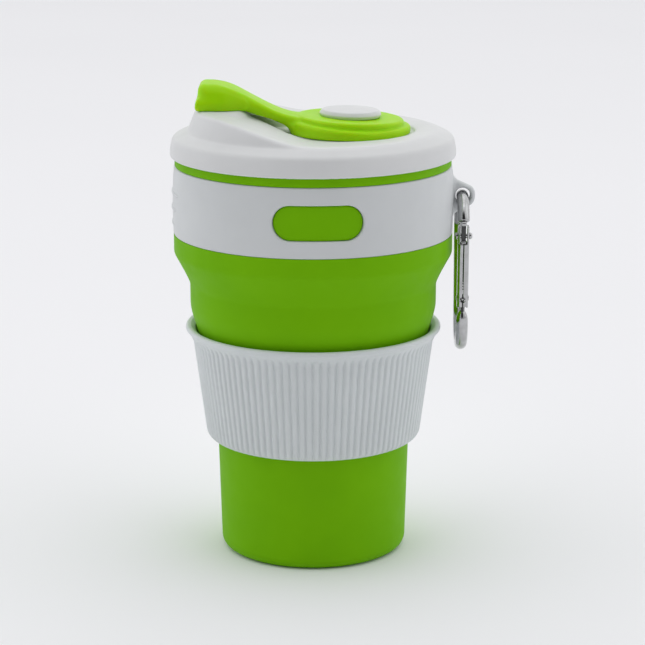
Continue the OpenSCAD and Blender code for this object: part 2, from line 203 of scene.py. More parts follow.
def rounded(corners, steps=7):
    """Closed outline through (x, y, radius) corners, each turned into an arc of its radius."""
    places = np.array([c[:2] for c in corners], float)
    out = []
    for i, corner in enumerate(corners):
        here, radius = places[i], corner[2]
        if radius == 0:
            out.append(here)
            continue
        back = places[i - 1] - here
        ahead = places[(i + 1) % len(corners)] - here
        back /= np.linalg.norm(back)
        ahead /= np.linalg.norm(ahead)
        half = math.acos(np.clip(back @ ahead, -1, 1)) / 2
        centre = here + (back + ahead) / np.linalg.norm(back + ahead) * radius / math.sin(half)
        reach = radius / math.tan(half)
        first = math.atan2(*(here + back * reach - centre)[::-1])
        last = math.atan2(*(here + ahead * reach - centre)[::-1])
        turn = (last - first + math.pi) % (2 * math.pi) - math.pi
        for k in range(steps + 1):
            a = first + turn * k / steps
            out.append(centre + radius * np.array([math.cos(a), math.sin(a)]))
    return np.array(out)


def densified(outline, step=1.2):
    """Closed outline with points added, so that none are further apart than step."""
    out = []
    for a, b in zip(outline, np.roll(outline, -1, axis=0)):
        parts = max(1, math.ceil(np.linalg.norm(b - a) / step))
        out += [a + (b - a) * k / parts for k in range(parts)]
    return np.array(out)


def grid_faces(rows, columns, close_rows=False, close_columns=True):
    """Quads over a grid of points numbered row by row."""
    r = np.arange(rows if close_rows else rows - 1)[:, None]
    c = np.arange(columns if close_columns else columns - 1)[None, :]
    r, c = np.broadcast_arrays(r, c)
    r2, c2 = (r + 1) % rows, (c + 1) % columns
    quads = [r * columns + c, r * columns + c2, r2 * columns + c2, r2 * columns + c]
    return np.stack(quads, -1).reshape(-1, 4)


def new_piece(name, points, faces, material, sharp=40.0):
    """Mesh object from points in millimetres, with doubles merged, and smooth up to the sharp angle."""
    mesh = bpy.data.meshes.new(name)
    mesh.from_pydata((np.asarray(points, float) * MM).tolist(), [], np.asarray(faces).tolist())
    work = bmesh.new()
    work.from_mesh(mesh)
    bmesh.ops.remove_doubles(work, verts=work.verts, dist=1e-7)
    bmesh.ops.dissolve_degenerate(work, edges=work.edges, dist=1e-7)
    bmesh.ops.recalc_face_normals(work, faces=work.faces)
    work.to_mesh(mesh)
    work.free()
    mesh.shade_smooth()
    mesh.set_sharp_from_angle(angle=math.radians(sharp))
    mesh.materials.append(material)
    obj = bpy.data.objects.new(name, mesh)
    bpy.context.scene.collection.objects.link(obj)
    return obj


def lathe(name, outline, material, columns=256, x=0.0):
    """Closed (radius, z) outline turned round the vertical line at x."""
    a = np.linspace(0, 2 * math.pi, columns, endpoint=False)[None, :]
    r, z = outline[:, :1], outline[:, 1:]
    points = np.stack(np.broadcast_arrays(x + r * np.cos(a), r * np.sin(a), z), -1).reshape(-1, 3)
    return new_piece(name, points, grid_faces(len(outline), columns, close_rows=True), material)


def joined(*parts):
    """Several (points, faces) meshes as one."""
    points, faces, start = [], [], 0
    for p, f in parts:
        points.append(p)
        faces += (np.asarray(f) + start).tolist()
        start += len(p)
    return np.concatenate(points), faces


def shell_between(outer, inner, faces):
    """Closed shell from two copies of one open sheet, walled along every free edge."""
    count = len(outer)
    faces = np.asarray(faces)
    edges = np.concatenate([faces[:, [k, (k + 1) % 4]] for k in range(4)])
    key = np.sort(edges, axis=1)
    _, index, uses = np.unique(key, axis=0, return_index=True, return_counts=True)
    free = edges[index[uses == 1]]
    walls = np.column_stack([free[:, 1], free[:, 0], free[:, 0] + count, free[:, 1] + count])
    return np.concatenate([outer, inner]), np.concatenate([faces, faces[:, ::-1] + count, walls])


# ---------------------------------------------------------------- solids from distance fields


def field_grid(low, high, step):
    """Coordinates of a regular grid, shaped so that they broadcast together."""
    x, y, z = [np.arange(a, b + step, step) for a, b in zip(low, high)]
    return x[:, None, None], y[None, :, None], z[None, None, :]


def soft_union(a, b, k):
    """Union of two distance fields with a fillet of about k."""
    h = np.clip(0.5 + 0.5 * (b - a) / k, 0, 1)
    return mix(b, a, h) - k * h * (1 - h)


def soft_common(a, b, k):
    """Intersection of two distance fields with a rounding of about k."""
    return -soft_union(-a, -b, k)


def soft_cut(a, b, k):
    """First field with the second taken out of it."""
    return soft_common(a, -b, k)


def outline_distance(px, py, outline):
    """Signed distance to a closed outline, negative inside it."""
    px, py = np.broadcast_arrays(px, py)
    best = np.full(px.shape, 1e9)
    inside = np.zeros(px.shape, bool)
    for (ax, ay), (bx, by) in zip(outline, np.roll(outline, -1, axis=0)):
        ex, ey = bx - ax, by - ay
        length = ex * ex + ey * ey
        if length == 0:
            continue
        t = np.clip(((px - ax) * ex + (py - ay) * ey) / length, 0, 1)
        best = np.minimum(best, (px - ax - t * ex) ** 2 + (py - ay - t * ey) ** 2)
        if ey != 0:
            inside ^= ((ay > py) != (by > py)) & (px < ex * (py - ay) / ey + ax)
    return np.where(inside, -1, 1) * np.sqrt(best)


def turned_field(outline, x, y, z, centre_x=0.0, lift=0.0, step=0.15):
    """Field of a (radius, z) outline turned round the vertical line at centre_x and raised by lift."""
    r = np.hypot(x - centre_x, y)
    z = z - lift
    levels = np.arange(z.min(), z.max() + 2 * step, step)
    table = outline_distance(np.arange(0, r.max() + 2 * step, step)[:, None], levels[None, :], outline)
    row, column = (r / step).astype(int), ((z - levels[0]) / step).astype(int)
    across, up = r / step - row, (z - levels[0]) / step - column
    lower = mix(table[row, column], table[row + 1, column], across)
    upper = mix(table[row, column + 1], table[row + 1, column + 1], across)
    return mix(lower, upper, up)


def plate_field(flat, across, half, edge):
    """Field of a flat outline's field made into a plate of that half thickness, with round edges."""
    a, b = flat + edge, np.abs(across) - half + edge
    return np.hypot(np.maximum(a, 0), np.maximum(b, 0)) + np.minimum(np.maximum(a, b), 0) - edge


def surface_net(field, low, step):
    """Points and quads of a field's zero level: one point in each grid cell that the level passes through."""
    cells = [n - 1 for n in field.shape]
    total = np.zeros((*cells, 3), np.float32)
    count = np.zeros(cells, np.float32)
    crossings = []
    for axis in range(3):
        near, far = [slice(None)] * 3, [slice(None)] * 3
        near[axis], far[axis] = slice(0, -1), slice(1, None)
        a, b = field[tuple(near)], field[tuple(far)]
        crosses = (a < 0) != (b < 0)
        share = np.where(crosses, a / np.where(crosses, a - b, 1), 0)
        crossings.append((crosses, a < 0))
        u, v = [k for k in range(3) if k != axis]
        for du in (0, 1):
            for dv in (0, 1):
                part = [slice(None)] * 3
                part[u], part[v] = slice(du, du + cells[u]), slice(dv, dv + cells[v])
                hit = crosses[tuple(part)]
                count += hit
                total[..., axis] += share[tuple(part)]
                total[..., u] += du * hit
                total[..., v] += dv * hit
    mixed = count > 0
    number = np.full(cells, -1)
    number[mixed] = np.arange(mixed.sum())
    points = np.array(low) + step * (np.argwhere(mixed) + total[mixed] / count[mixed][:, None])
    faces = []
    for axis, (crosses, starts_inside) in enumerate(crossings):
        u, v = [k for k in range(3) if k != axis]
        place = np.argwhere(crosses)
        keep = (place[:, u] > 0) & (place[:, v] > 0) & (place[:, u] < cells[u]) & (place[:, v] < cells[v])
        place = place[keep]
        ring = []
        for du, dv in ((1, 1), (0, 1), (0, 0), (1, 0)):
            cell = place.copy()
            cell[:, u] -= du
            cell[:, v] -= dv
            ring.append(number[tuple(cell.T)])
        quads = np.stack(ring, -1)
        backward = starts_inside[tuple(place.T)] == (axis == 1)
        quads[backward] = quads[backward][:, ::-1]
        faces.append(quads)
    return points, np.concatenate(faces)


# ---------------------------------------------------------------- materials


def node(tree, kind, **values):
    """New shader node, with its sockets or attributes set by name."""
    made = tree.nodes.new(kind)
    for key, value in values.items():
        if key in made.inputs:
            made.inputs[key].default_value = value
        else:
            setattr(made, key, value)
    return made


def new_material(name, **shader_values):
    """Material with a Principled shader, and that shader."""
    material = bpy.data.materials.new(name)
    material.use_nodes = True
    shader = material.node_tree.nodes["Principled BSDF"]
    for key, value in shader_values.items():
        shader.inputs[key.replace("_", " ")].default_value = value
    return material, shader


def noise(tree, scale, detail=2.0, roughness=0.5):
    """Noise in the piece's own space, at a scale in cycles per metre."""
    place = node(tree, "ShaderNodeTexCoord")
    made = node(tree, "ShaderNodeTexNoise", Scale=scale, Detail=detail, Roughness=roughness)
    tree.links.new(place.outputs["Object"], made.inputs["Vector"])
    return made.outputs["Fac"]


def spread(tree, source, low, high):
    """The source's middle range mapped to low..high."""
    made = node(tree, "ShaderNodeMapRange")
    made.inputs["From Min"].default_value = 0.3
    made.inputs["From Max"].default_value = 0.7
    made.inputs["To Min"].default_value = low
    made.inputs["To Max"].default_value = high
    tree.links.new(source, made.inputs["Value"])
    return made.outputs["Result"]


def two_tone(tree, source, first, second):
    """Colour that drifts between two colours as the source does."""
    made = node(tree, "ShaderNodeMix", data_type="RGBA")
    tree.links.new(spread(tree, source, 0, 1), made.inputs["Factor"])
    for socket, colour in zip([s for s in made.inputs if s.type == "RGBA"], (first, second)):
        socket.default_value = (*colour, 1)
    return next(s for s in made.outputs if s.type == "RGBA")


def grain_bump(tree, shader, layers):
    """Stacked bumps, each from (scale in cycles per metre, strength, height in metres)."""
    last = None
    for scale, strength, height in layers:
        bump = node(tree, "ShaderNodeBump", Strength=strength, Distance=height)
        tree.links.new(noise(tree, scale, 3.0), bump.inputs["Height"])
        if last:
            tree.links.new(last, bump.inputs["Normal"])
        last = bump.outputs["Normal"]
    tree.links.new(last, shader.inputs["Normal"])


def moulded(name, light, dark, roughness, grain, **shader_values):
    """Moulded polymer: colour that drifts a little, uneven gloss and a fine spark-eroded grain."""
    material, shader = new_material(name, **shader_values)
    tree = material.node_tree
    tree.links.new(two_tone(tree, noise(tree, 60, 3.0), light, dark), shader.inputs["Base Color"])
    gloss = spread(tree, noise(tree, 240, 4.0), roughness - 0.05, roughness + 0.05)
    tree.links.new(gloss, shader.inputs["Roughness"])
    grain_bump(tree, shader, grain)
    return material


def steel(name, roughness, bright):
    """Plated steel wire: bright, with faint drawing marks along it and slight waviness."""
    material, shader = new_material(name, Metallic=1.0)
    tree = material.node_tree
    light, dark = (bright, bright * 1.01, bright * 1.02), (bright * 0.8,) * 3
    colour = two_tone(tree, noise(tree, 500, 3.0), light, dark)
    tree.links.new(colour, shader.inputs["Base Color"])
    place = node(tree, "ShaderNodeTexCoord")
    stretch = node(tree, "ShaderNodeMapping")
    stretch.inputs["Scale"].default_value = (1.0, 1.0, 0.08)
    tree.links.new(place.outputs["Object"], stretch.inputs["Vector"])
    marks = node(tree, "ShaderNodeTexNoise", Scale=5000.0, Detail=3.0)
    tree.links.new(stretch.outputs["Vector"], marks.inputs["Vector"])
    gloss = spread(tree, marks.outputs["Fac"], roughness * 0.6, roughness * 1.6)
    tree.links.new(gloss, shader.inputs["Roughness"])
    grain_bump(tree, shader, [(400, 0.12, 0.0001), (3000, 0.05, 0.00003)])
    return material


SILICONE_GRAIN = [(90, 0.05, 0.0008), (2600, 0.10, 0.00012)]
PLASTIC_GRAIN = [(60, 0.03, 0.0008), (3600, 0.08, 0.00008)]

silicone = moulded(
    "cup_silicone", (0.182, 0.49, 0.0), (0.166, 0.46, 0.0), 0.55, SILICONE_GRAIN, Specular_IOR_Level=0.07
)
stopper_silicone = moulded(
    "stopper_silicone", (0.38, 0.75, 0.0), (0.35, 0.72, 0.0), 0.45, SILICONE_GRAIN,
    Specular_IOR_Level=0.15, Subsurface_Weight=0.4, Subsurface_Scale=0.004,
)
collar_plastic = moulded(
    "collar_plastic", (0.66, 0.68, 0.69), (0.63, 0.65, 0.66), 0.45, PLASTIC_GRAIN, Specular_IOR_Level=0.4
)
sleeve_plastic = moulded(
    "sleeve_plastic", (0.70, 0.735, 0.745), (0.67, 0.705, 0.715), 0.5, PLASTIC_GRAIN, Specular_IOR_Level=0.35
)
lid_plastic = moulded(
    "lid_plastic", (0.72, 0.725, 0.73), (0.69, 0.695, 0.70), 0.42, PLASTIC_GRAIN, Specular_IOR_Level=0.4
)
button_plastic = moulded(
    "button_plastic", (0.72, 0.725, 0.73), (0.68, 0.685, 0.69), 0.4, PLASTIC_GRAIN, Specular_IOR_Level=0.45
)
hook_steel = steel("hook_steel", 0.12, 0.52)
# Near-black copy of the steel for the hook's neck and tongue: painted shade, standing in for the shade deep
# inside the gate's window
painted_shade_steel = steel("hook_steel_painted_shade", 0.3, 0.08)


# ---------------------------------------------------------------- cup body


def seat_cone(z):
    """Outer radius of the cone that the sleeve seats on."""
    return SEAT_R + SEAT_TAPER * (z - MIDDLE_Z)


def cup_outer(z):
    """Outer radius of the middle tier, the upper fold and the rim tier below the collar."""
    swell = smooth((z - SEAT_TOP_Z) / (BAND_Z - SEAT_TOP_Z))
    middle = np.where(z < SEAT_TOP_Z, seat_cone(z), mix(seat_cone(SEAT_TOP_Z), MIDDLE_R, swell))
    share = np.clip((z - FOLD_Z) / (RIM_Z - FOLD_Z), 0, 1)
    return np.where(z < FOLD_Z, middle, MIDDLE_R + (RIM_R - MIDDLE_R) * share**1.15)


def softened(values, width):
    """Values along a curve with their kinks eased over that many samples."""
    window = np.hanning(width + 2)[1:-1]
    padded = np.pad(values, width // 2, mode="edge")
    return np.convolve(padded, window / window.sum(), mode="valid")[: len(values)]


def cup_top():
    """Middle tier, upper fold and rim tier: one moulding that bends at the fold."""
    step = 0.3
    z = np.arange(MIDDLE_Z, COLLAR_Z, step)
    outer = np.column_stack([softened(cup_outer(z), 9), z])
    upper = rounded([
        (RECESS_R, COLLAR_Z, 0), (RECESS_R, COLLAR_TOP_Z + 0.1, 0), (LIP_R, COLLAR_TOP_Z + 0.1, 0.2),
        (LIP_R, LIP_Z, LIP_ROUND), (RIM_INNER_R, LIP_Z, LIP_ROUND), (RIM_INNER_R, RIM_Z + 8, 4),
        (RIM_R - FOLD_WALL - 0.1, RIM_Z, 0),
    ])
    fold_z = np.linspace(RIM_Z, FOLD_Z, 14)[1:-1]
    fold = np.column_stack([cup_outer(fold_z) - FOLD_WALL, fold_z])
    lower = rounded([
        (MIDDLE_R - WALL + 0.3, FOLD_Z, 0.4), (MIDDLE_R - WALL, BAND_Z - 3, 4),
        (seat_cone(SEAT_TOP_Z) - WALL + 0.8, SEAT_TOP_Z, 4), (SEAT_R - 0.8, MIDDLE_Z + 3, 2),
        (SEAT_R - 0.8, MIDDLE_Z, 0),
    ])
    piece = lathe("cup_top", densified(np.concatenate([outer, upper, fold, lower])), silicone, 288)
    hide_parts("middle_tier", "upper_fold", "rim_tier")
    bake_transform(piece)


def cup_bottom():
    """Base tier and lower fold: one moulding that bends at the fold."""
    groove_r = BASE_R * 0.7
    outline = rounded([
        (0, 0, 0), (groove_r - 0.7, 0, 0.2), (groove_r, 0.7, 0.4), (groove_r + 0.7, 0, 0.2),
        (BASE_R, 0, FOOT_ROUND - 0.2), (BASE_TOP_R, BASE_H, 6), (SEAT_R, MIDDLE_Z, 0),
        (SEAT_R - FOLD_WALL, MIDDLE_Z, 0), (BASE_TOP_R - FOLD_WALL, BASE_H, 3),
        (BASE_TOP_R - WALL, BASE_H - 2, 1), (BASE_R - WALL, FLOOR_T, 3), (0, FLOOR_T, 0),
    ])
    piece = lathe("cup_bottom", densified(outline), silicone, 256)
    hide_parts("base_tier", "lower_fold")
    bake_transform(piece)


# ---------------------------------------------------------------- collar


def stadium_core(x, w, h):
    """Nearest point, along x, of the middle line that a stadium of that width and height is drawn round."""
    reach = (w - h) / 2
    return np.clip(x, -reach, reach)


def on_collar(angle, r, z):
    """Point on the collar at an angle in radians from the window's middle."""
    a = angle + math.radians(WINDOW_TURN)
    return np.stack(np.broadcast_arrays(r * np.sin(a), -r * np.cos(a), z), -1)


def edge_drop(distance, edge):
    """How far a quarter-round edge of that radius has dropped, by the distance in from the edge."""
    short = np.clip(edge - distance, 0, edge)
    return edge - np.sqrt(edge * edge - short * short)


def collar_outer(angle, z):
    """Outer radius of the collar, with its rounded edges and the bevel round its window."""
    share = (z - COLLAR_Z) / (COLLAR_TOP_Z - COLLAR_Z)
    r = COLLAR_R - 0.2 * np.clip(0.4 - share, 0, 1) ** 2 / 0.16
    r = r - 0.6 * np.clip((share - 0.4) / 0.6, 0, 1) ** 2.2
    r = r - edge_drop(z - COLLAR_Z, 0.45) - edge_drop(COLLAR_TOP_Z - z, 0.45)
    x = COLLAR_R * np.sin(angle)
    away = np.hypot(x - stadium_core(x, WINDOW_W, WINDOW_H), z - WINDOW_Z) - WINDOW_H / 2
    return r - np.where(np.cos(angle) > 0, edge_drop(np.maximum(away, 0), 0.55), 0)


def window_patch(angles, levels):
    """Sheet between the window's edge and a rectangle of the collar's own grid lines."""
    bottom = [(a, levels[0]) for a in angles]
    right = [(angles[-1], z) for z in levels[1:]]
    top = [(a, levels[-1]) for a in angles[-2::-1]]
    left = [(angles[0], z) for z in levels[-2:0:-1]]
    border = np.array(bottom + right + top + left)
    x, z = COLLAR_R * np.sin(border[:, 0]), border[:, 1] - WINDOW_Z
    core = stadium_core(x, WINDOW_W, WINDOW_H)
    away = np.column_stack([x - core, z])
    length = np.linalg.norm(away, axis=1, keepdims=True)
    away /= length
    reach = length - WINDOW_H / 2
    near = np.array([0, 0.03, 0.1, 0.2, 0.33, 0.47, 0.62, 0.9])[:, None, None]
    far = np.linspace(0, 1, 9)[1:, None, None]
    spots = np.concatenate([np.broadcast_to(near, (len(near), len(x), 1)), mix(near[-1], reach[None], far)])
    flat = np.stack([core, np.zeros_like(core)], -1)[None] + away[None] * (WINDOW_H / 2 + spots)
    points = np.stack([np.arcsin(np.clip(flat[..., 0] / COLLAR_R, -1, 1)), flat[..., 1] + WINDOW_Z], -1)
    points[-1] = border
    return points.reshape(-1, 2), grid_faces(len(spots), len(border))


def collar_band():
    """Collar ring with its window, as a shell between its outer and inner skins."""
    columns, half = 360, 24
    angles = np.arange(-half, columns - half) * 2 * math.pi / columns
    edge = np.array([0, 0.03, 0.1, 0.2, 0.32, 0.45, 0.9])
    inner_rows = np.linspace(edge[-1] + 0.6, COLLAR_TOP_Z - COLLAR_Z - edge[-1] - 0.6, 22)
    levels = COLLAR_Z + np.concatenate([edge, inner_rows, COLLAR_TOP_Z - COLLAR_Z - edge[::-1]])
    first, last = len(edge) + 1, len(levels) - len(edge) - 2
    a, z = np.meshgrid(angles, levels)
    faces = grid_faces(len(levels), columns)
    row, column = faces[:, 0] // columns, faces[:, 0] % columns
    in_patch = (row >= first) & (row < last) & (column < 2 * half)
    band = (np.column_stack([a.ravel(), z.ravel()]), faces[~in_patch])
    sheet, faces = joined(band, window_patch(angles[: 2 * half + 1], levels[first : last + 1]))
    a, z = sheet[:, 0], sheet[:, 1]
    outer = on_collar(a, collar_outer(a, z), z)
    inner = on_collar(a, np.full(len(a), RECESS_R), z)
    # The sheet's own seams are merged before its free edges are walled
    keys, index = np.unique(np.round(outer, 6), axis=0, return_inverse=True)
    first_use = np.full(len(keys), len(outer))
    np.minimum.at(first_use, index.ravel(), np.arange(len(outer)))
    points, faces = shell_between(outer, inner, first_use[index.ravel()][np.asarray(faces)])
    return new_piece("collar_band", points, faces, collar_plastic)


def window_pad():
    """Green pad of the rim tier that fills the collar's window."""
    gap, edge = 0.08, 0.5
    w, h = WINDOW_W - 2 * gap, WINDOW_H - 2 * gap
    turns = np.radians(np.linspace(-90, 90, 25))
    ends = [(w / 2 - h / 2, turns), (-(w / 2 - h / 2), turns + math.pi)]
    core = np.concatenate([np.full(len(t), c) for c, t in ends])
    turn = np.concatenate([t for _, t in ends])
    straight = np.linspace(w / 2 - h / 2, -(w / 2 - h / 2), 16)[1:-1]
    core = np.insert(core, len(turns), straight)
    turn = np.insert(turn, len(turns), np.full(len(straight), math.pi / 2))
    core = np.append(core, -straight)
    turn = np.append(turn, np.full(len(straight), -math.pi / 2))
    near_edge = h / 2 - np.array([0.5, 0.35, 0.2, 0.1, 0.03, 0, 0])
    spots = np.concatenate([np.linspace(0, h / 2 - edge - 0.3, 8), near_edge])
    drop = np.append(edge_drop(h / 2 - spots[:-1], edge), 2.0)
    x = core[None, :] + np.cos(turn)[None, :] * spots[:, None]
    z = WINDOW_Z + np.sin(turn)[None, :] * spots[:, None]
    r = RECESS_R + 0.9 - drop[:, None]
    points = on_collar(np.arcsin(x / COLLAR_R), r, z).reshape(-1, 3)
    return new_piece("window_pad", points, grid_faces(len(spots), len(core)), silicone)


def grip_ridges():
    """Three short raised bars on the spout side of the collar."""
    half_angles, width, rise = (12.0, 15.5, 20.0), 0.62, 0.34
    parts = []
    for i, half_angle in enumerate(half_angles):
        level = COLLAR_Z + 3.6 + 4.9 * i
        s = np.sin(np.linspace(-90, 90, 61) * math.pi / 180)[:, None]
        t = np.linspace(0, math.pi, 11)[None, :]
        taper = np.sqrt(np.clip(1 - s**6, 0, 1))
        angle = math.pi + np.radians(half_angle) * s
        z = level + width * taper * np.cos(t)
        r = collar_outer(math.pi, z) - 0.1 + (rise + 0.1) * taper * np.sin(t)
        points = np.stack(np.broadcast_arrays(r * np.cos(angle), r * np.sin(angle), z), -1).reshape(-1, 3)
        parts.append((points, grid_faces(61, 11, close_columns=False)))
    return new_piece("grip_ridges", *joined(*parts), collar_plastic)


def hook_ear():
    """Ear that carries the snap hook, filleted into the collar's wall."""
    low = np.array([RECESS_R - 1, -6.0, EAR_Z - 10])
    high = np.array([EAR_X + EAR_R + 0.6, 6.0, EAR_Z + 9])
    step = 0.16
    x, y, z = field_grid(low, high, step)
    outline = rounded([
        (RECESS_R + 0.4, EAR_Z + 6.2, 0), (EAR_X - 1.6, EAR_Z + 4.75, 3.0),
        (EAR_X + EAR_R + 0.1, EAR_Z + 2.2, 2.6), (EAR_X + EAR_R, EAR_Z - 2.6, 3.4),
        (EAR_X - 1.2, EAR_Z - 5.0, 3.0), (RECESS_R + 0.4, EAR_Z - 6.3, 0),
    ])
    flat = outline_distance(x[:, :, 0], z[0, 0][None, :], outline)[:, None, :]
    tab = plate_field(flat, y, EAR_W / 2, 1.2)
    tab = soft_cut(tab, np.hypot(x - EAR_X, z - EAR_Z) - EAR_HOLE_R + 0 * y, 0.8)
    wall = np.abs(np.hypot(x, y) - (RECESS_R + COLLAR_R - 0.3) / 2) - (COLLAR_R - 0.3 - RECESS_R) / 2
    field = soft_union(tab, wall + 0 * z, 2.0)
    field = np.maximum(field, np.maximum(np.abs(y) - 5.4, np.abs(z - EAR_Z + 0.3) - 8.4) + 0 * x)
    field = np.maximum(field, RECESS_R + 0.1 - x + 0 * field)
    return new_piece("hook_ear", *surface_net(field, low, step), collar_plastic)


def collar():
    """Collar with its ridges and ear, and the pad in its window."""
    band = collar_band()
    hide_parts("collar")
    for piece in (band, grip_ridges(), hook_ear()):
        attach(piece, "rim")
    pad = window_pad()
    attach(pad, "rim")


# ---------------------------------------------------------------- heat sleeve


def sleeve():
    """Ribbed sleeve with a plain flared flange at the top and a turned-in lip at the bottom."""
    around = 12 * RIB_COUNT
    cone_z, cone_top_z = SLEEVE_Z + 3.4, SEAT_TOP_Z - 0.6
    skin = FIT_GAP + SLEEVE_WALL + RIB_DEPTH
    top_z = SLEEVE_TOP_Z
    outline = rounded([
        (BASE_TOP_R + 0.4, SLEEVE_Z, 0.2), (seat_cone(cone_z) + skin - 0.3, SLEEVE_Z, 2.6),
        (seat_cone(cone_top_z) + skin, cone_top_z + 1.0, 4), (FLANGE_R - 1.0, top_z - 2.7, 1.4),
        (FLANGE_R, top_z - 1.8, 0.7), (FLANGE_R, top_z - 0.4, 0.8), (FLANGE_R - 1.6, top_z - 0.6, 0.5),
        (cup_outer(top_z - 1.4) + 0.55, top_z - 1.6, 1.2), (seat_cone(SEAT_TOP_Z) + FIT_GAP, SEAT_TOP_Z, 5),
        (seat_cone(cone_z) + FIT_GAP, cone_z, 1),
    ])
    outline = densified(outline, 0.7)
    r, z = outline[:, :1], outline[:, 1:]
    a = np.linspace(0, 2 * math.pi, around, endpoint=False)[None, :]
    groove = (0.5 + 0.5 * np.cos(a * RIB_COUNT)) ** 2.2
    outside = r > cup_outer(z) + FIT_GAP + 0.5
    ribbed = outside * smooth((top_z - 3.2 - z) / 1.0) * mix(0.45, 1.0, smooth((z - SLEEVE_Z) / 1.5))
    radius = r - 1.25 * RIB_DEPTH * groove * ribbed
    points = np.stack(np.broadcast_arrays(radius * np.cos(a), radius * np.sin(a), z), -1).reshape(-1, 3)
    faces = grid_faces(len(outline), around, close_rows=True)
    piece = new_piece("heat_sleeve", points, faces, sleeve_plastic, 60)
    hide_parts("sleeve")
    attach(piece, "sleeve")


# ---------------------------------------------------------------- lid


def teardrop(x, y):
    """Distance in plan to the stopper's pocket: a large and a small circle and their tangents."""
    big_r, small_r = DISC_R + POCKET_GAP, POCKET_TIP_R
    gap = DISC_X - POCKET_TIP_X
    sine = (big_r - small_r) / gap
    cosine = math.sqrt(1 - sine * sine)
    px, py = DISC_X - x, np.abs(y)
    side = px * cosine - py * sine
    near_big, near_small = side < 0, side > gap * cosine
    flank = py * cosine - (big_r - px * sine)
    flank = np.where(near_small, np.hypot(px - gap, py) - small_r, flank)
    return np.where(near_big, np.hypot(px, py) - big_r, flank)


def lid_height(x, y):
    """Height of the lid's upper surface: deck, ramp, flat seat under the cap, and a dish round the disc."""
    run = smooth(np.clip(-x / RAMP_RUN, 0, 1) ** 0.85)
    dish = DISH * smooth((x + 20) / 18) * (1 - 0.4 * smooth(x / 20)) * smooth((37.5 - np.hypot(x, y)) / 12)
    ramp = DECK_Z + RAMP_RISE * run - dish
    seat_l, seat_w, seat_round = 16.0, CAP_W + 1, 5.0
    sx = np.abs(x + 22.5 + seat_l / 2) - seat_l / 2 + seat_round
    sy = np.abs(y) - seat_w / 2 + seat_round
    away = np.hypot(np.maximum(sx, 0), np.maximum(sy, 0)) + np.minimum(np.maximum(sx, sy), 0) - seat_round
    return mix(SPOUT_Z, ramp, smooth(away / 3.5))


def lid():
    """Lid with its ramp, spout, stopper pocket, drinking hole, skirt and inner sealing wall."""
    step = 0.42
    low = np.array([-LID_R - 1, -LID_R - 1, SKIRT_Z - 1])
    high = np.array([LID_R + 1, LID_R + 1, SPOUT_Z + 1])
    x, y, z = field_grid(low, high, step)
    plug_r, plug_t = RIM_INNER_R - FIT_GAP, 1.7
    skirt_r = LIP_R + FIT_GAP
    outline = rounded([
        (-5, PLATE_Z, 0), (plug_r - plug_t, PLATE_Z, 0), (plug_r - plug_t, PLATE_Z - 6, 0.6),
        (plug_r, PLATE_Z - 6, 0.6), (plug_r, PLATE_Z, 0), (skirt_r, PLATE_Z, 1.6), (skirt_r, SKIRT_Z, 0.3),
        (LID_R - 0.15, SKIRT_Z, 0.75), (LID_R - 0.15, DECK_Z - 6, 6), (LID_R - 0.9, DECK_Z - 2.2, 2.2),
        (LID_R - 5.5, DECK_Z, 6), (-5, DECK_Z, 0),
    ])
    body = turned_field(outline, x, y, z)
    slope = 0.4
    flank = (np.hypot(x, y) - RAMP_R - (DECK_Z - z) * slope) / math.hypot(1, slope)
    top = (z - lid_height(x, y)) * 0.93
    # Inside the outer ring the surface is the ramp's own, which dips below the deck round the disc
    ring_r = RAMP_R - 1.5
    body = np.maximum(body, np.minimum(top, ring_r - np.hypot(x, y)))
    ramp = np.maximum(soft_common(top, flank, 1.3), DECK_Z - 3 - z)
    field = soft_union(body, ramp, 0.6)
    drop = teardrop(x, y)
    field = soft_cut(field, np.maximum(drop, POCKET_Z - z), 0.8)
    hollow = np.maximum(soft_common(top + SHELL, flank + SHELL, 1.0), SHELL - drop)
    field = soft_cut(field, np.maximum(hollow, PLATE_Z - 1 - z), 0.5)
    field = soft_cut(field, np.hypot(x - DRINK_X, y) - DRINK_R + 0 * z, 0.7)
    piece = new_piece("lid_shell", *surface_net(field, low, step), lid_plastic, 60)
    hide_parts("lid", "lid_skirt", "lid_seal")
    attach(piece, "lid")


def button():
    """Round button that snaps through the stopper's disc into the lid."""
    head = BUTTON_TOP_Z - DISC_TOP_Z
    outline = rounded([
        (0, PLATE_Z - 1.4, 0), (STEM_R, PLATE_Z - 1.4, 0.6), (STEM_R, DISC_TOP_Z, 0.1),
        (BUTTON_R - 0.5, DISC_TOP_Z, 0.2), (BUTTON_R, DISC_TOP_Z + head * 0.4, 0.6),
        (BUTTON_R - 0.8, BUTTON_TOP_Z - 0.25, 1.0), (BUTTON_R - 4, BUTTON_TOP_Z, 6), (0, BUTTON_TOP_Z, 0),
    ])
    piece = lathe("strap_button_cap", densified(outline, 0.8), button_plastic, 160, DISC_X)
    # The strap's pull tilts the button with the disc
    for corner in piece.data.vertices:
        corner.co.z += BUTTON_TILT * (DISC_X * MM - corner.co.x)
    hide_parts("strap_button")
    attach(piece, "lid")


# ---------------------------------------------------------------- stopper


def strap_top_z(x):
    """Height of the top of the strap and the cap: one S from the disc up to the spout."""
    return STRAP_LOW_Z + (CAP_TOP_Z - STRAP_LOW_Z) * smooth((STRAP_FOOT_X - x) / STRAP_RUN)


def strap_under_z(x):
    """Height of the strap's underside: it thickens towards the cap and towards the disc."""
    under = strap_top_z(x) - STRAP_T - 1.7 * smooth((-12 - x) / 9) - smooth((x + 9) / 5)
    return np.where(x < -12, np.maximum(under, lid_height(x, 0 * x) + 0.15), under)


